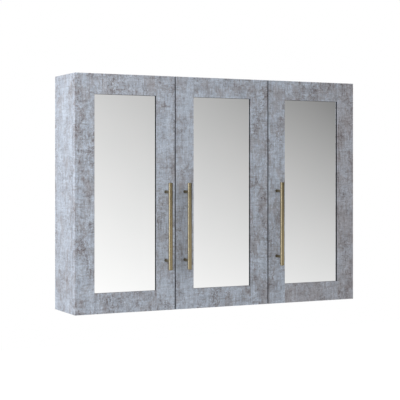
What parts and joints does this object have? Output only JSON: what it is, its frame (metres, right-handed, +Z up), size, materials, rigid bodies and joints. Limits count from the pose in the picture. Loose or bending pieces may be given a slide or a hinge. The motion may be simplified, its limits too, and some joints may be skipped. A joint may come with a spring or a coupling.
{
  "type": "medicine cabinet with mirror",
  "caption": "Wall-hung bathroom cabinet with hinged framed mirror doors, slim bar handles, concealed hinges and shelved bays behind.",
  "frame": {"origin": "centre of the rear face, on the wall plane", "axes": "+X to the right seen from the front, +Y into the wall, +Z up"},
  "size_m": [0.9, 0.198, 0.656],
  "materials": {
    "concrete_decor": "satin melamine, distressed concrete print",
    "white_board": "satin white melamine",
    "hardboard": "sealed hardboard",
    "black_foam": "closed-cell foam strip",
    "mirror_glass": "polished silvered glass",
    "brushed_brass": "brushed champagne brass",
    "nickel_steel": "bright nickel plate"
  },
  "bodies": {
    "carcass": {"side_panel_left": "concrete_decor", "side_panel_right": "concrete_decor", "top_panel": "concrete_decor", "bottom_panel": "concrete_decor", "partition": "white_board", "back_panel": "white_board", "hanging_rail_upper": "white_board", "hanging_rail_lower": "white_board", "shelf_left_lower": "white_board", "shelf_left_upper": "white_board", "shelf_right_lower": "white_board", "shelf_right_upper": "white_board", "hinge_left_upper_arm": "nickel_steel", "hinge_left_lower_arm": "nickel_steel", "hinge_middle_upper_arm": "nickel_steel", "hinge_middle_lower_arm": "nickel_steel", "hinge_right_upper_arm": "nickel_steel", "hinge_right_lower_arm": "nickel_steel"},
    "door_left": {"door_left_stile_left": "concrete_decor", "door_left_stile_right": "concrete_decor", "door_left_rail_top": "concrete_decor", "door_left_rail_bottom": "concrete_decor", "door_left_mirror": "mirror_glass", "door_left_gasket": "black_foam", "door_left_backing": "hardboard", "handle_left_bar": "brushed_brass", "handle_left_post_upper": "brushed_brass", "handle_left_post_lower": "brushed_brass", "hinge_left_upper_cup": "nickel_steel", "hinge_left_lower_cup": "nickel_steel"},
    "links_left": {"hinge_left_upper_link": "nickel_steel", "hinge_left_lower_link": "nickel_steel"},
    "door_middle": {"door_middle_stile_left": "concrete_decor", "door_middle_stile_right": "concrete_decor", "door_middle_rail_top": "concrete_decor", "door_middle_rail_bottom": "concrete_decor", "door_middle_mirror": "mirror_glass", "door_middle_gasket": "black_foam", "door_middle_backing": "hardboard", "handle_middle_bar": "brushed_brass", "handle_middle_post_upper": "brushed_brass", "handle_middle_post_lower": "brushed_brass", "hinge_middle_upper_cup": "nickel_steel", "hinge_middle_lower_cup": "nickel_steel"},
    "links_middle": {"hinge_middle_upper_link": "nickel_steel", "hinge_middle_lower_link": "nickel_steel"},
    "door_right": {"door_right_stile_left": "concrete_decor", "door_right_stile_right": "concrete_decor", "door_right_rail_top": "concrete_decor", "door_right_rail_bottom": "concrete_decor", "door_right_mirror": "mirror_glass", "door_right_gasket": "black_foam", "door_right_backing": "hardboard", "handle_right_bar": "brushed_brass", "handle_right_post_upper": "brushed_brass", "handle_right_post_lower": "brushed_brass", "hinge_right_upper_cup": "nickel_steel", "hinge_right_lower_cup": "nickel_steel"},
    "links_right": {"hinge_right_upper_link": "nickel_steel", "hinge_right_lower_link": "nickel_steel"}
  },
  "joints": [
    {"name": "door_left_hinge", "type": "hinge", "parent": "carcass", "child": "door_left", "pos_m": [-0.447, -0.157, 0], "axis": [0, 0, -1], "range_deg": [0, 105]},
    {"name": "door_middle_hinge", "type": "hinge", "parent": "carcass", "child": "door_middle", "pos_m": [0.146, -0.157, 0], "axis": [0, 0, 1], "range_deg": [0, 105]},
    {"name": "door_right_hinge", "type": "hinge", "parent": "carcass", "child": "door_right", "pos_m": [0.447, -0.157, 0], "axis": [0, 0, 1], "range_deg": [0, 105]},
    {"name": "links_left_pivot", "type": "hinge", "parent": "carcass", "child": "links_left", "pos_m": [-0.416, -0.1465, 0], "axis": [0, 0, 1], "range_deg": [0, 63.2]},
    {"name": "links_middle_pivot", "type": "hinge", "parent": "carcass", "child": "links_middle", "pos_m": [0.115, -0.1465, 0], "axis": [0, 0, -1], "range_deg": [0, 63.2]},
    {"name": "links_right_pivot", "type": "hinge", "parent": "carcass", "child": "links_right", "pos_m": [0.416, -0.1465, 0], "axis": [0, 0, -1], "range_deg": [0, 63.2]}
  ],
  "couplings": [
    {"joint": "links_left_pivot", "follows": "door_left_hinge", "ratio": 0.6},
    {"joint": "links_middle_pivot", "follows": "door_middle_hinge", "ratio": 0.6},
    {"joint": "links_right_pivot", "follows": "door_right_hinge", "ratio": 0.6}
  ]
}
